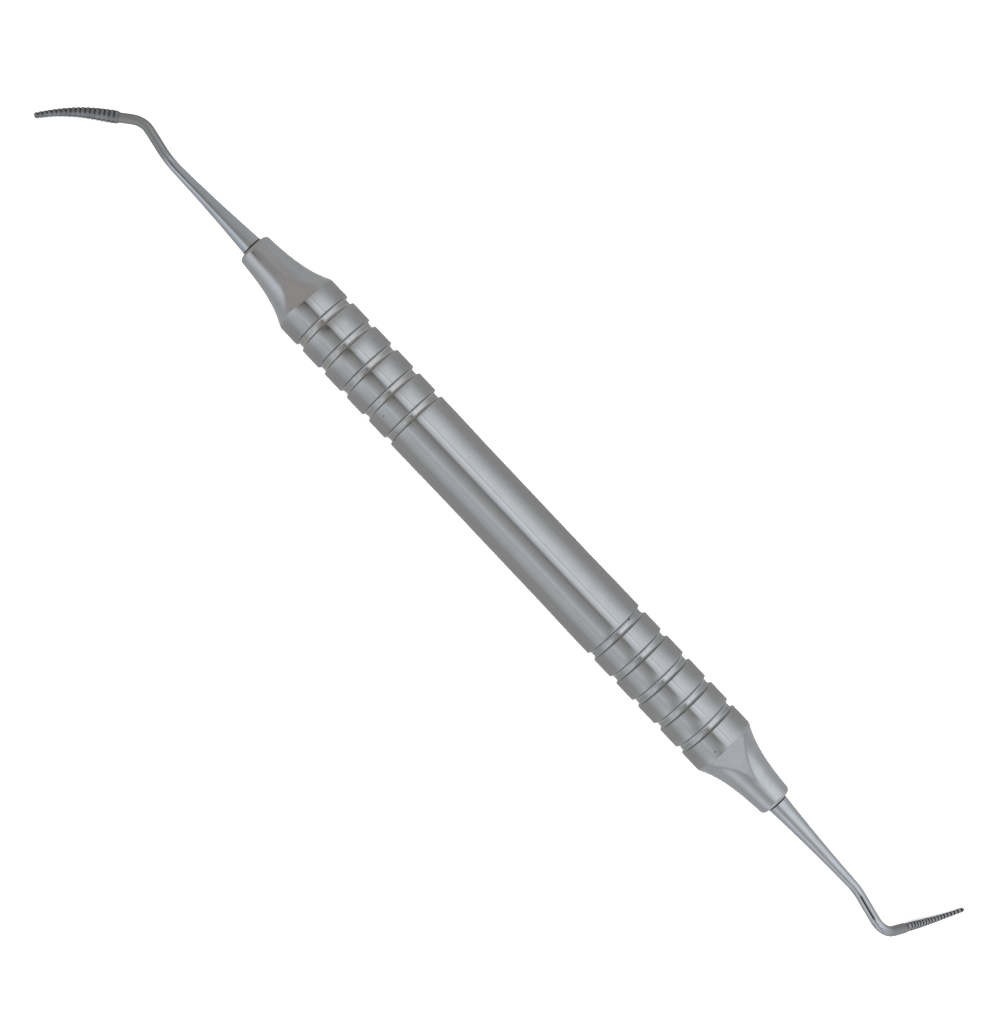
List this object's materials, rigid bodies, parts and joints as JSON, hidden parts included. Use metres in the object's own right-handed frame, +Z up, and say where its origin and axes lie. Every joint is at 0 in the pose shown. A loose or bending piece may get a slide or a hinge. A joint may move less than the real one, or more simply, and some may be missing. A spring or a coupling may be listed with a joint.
{
  "type": "hand scaler",
  "caption": "Double-ended dental file of the hand scaler family: hollow grooved steel handle with flared noses, and a bent shank with a curved ridged blade at each end.",
  "frame": {"origin": "on the surface the instrument lies on, straight below the middle of the handle", "axes": "+X along the handle towards the end with the steep bend, +Z up from the surface, the handle's axis 5 mm above it; both blade tips hang beside the handle just clear of the surface, the left one on the -Y side and the right one on the +Y side"},
  "size_m": [0.1764, 0.021, 0.01],
  "materials": {
    "tube_steel": "satin, drawn along the handle",
    "grip_steel": "satin lands, turned grooves, polished flared nose",
    "tip_steel": "polished shank, matt blade with ground ridges"
  },
  "bodies": {
    "root": {"middle_tube": "tube_steel", "grip_end_left": "grip_steel", "grip_end_right": "grip_steel", "working_end_left": "tip_steel", "working_end_right": "tip_steel"}
  },
  "joints": []
}
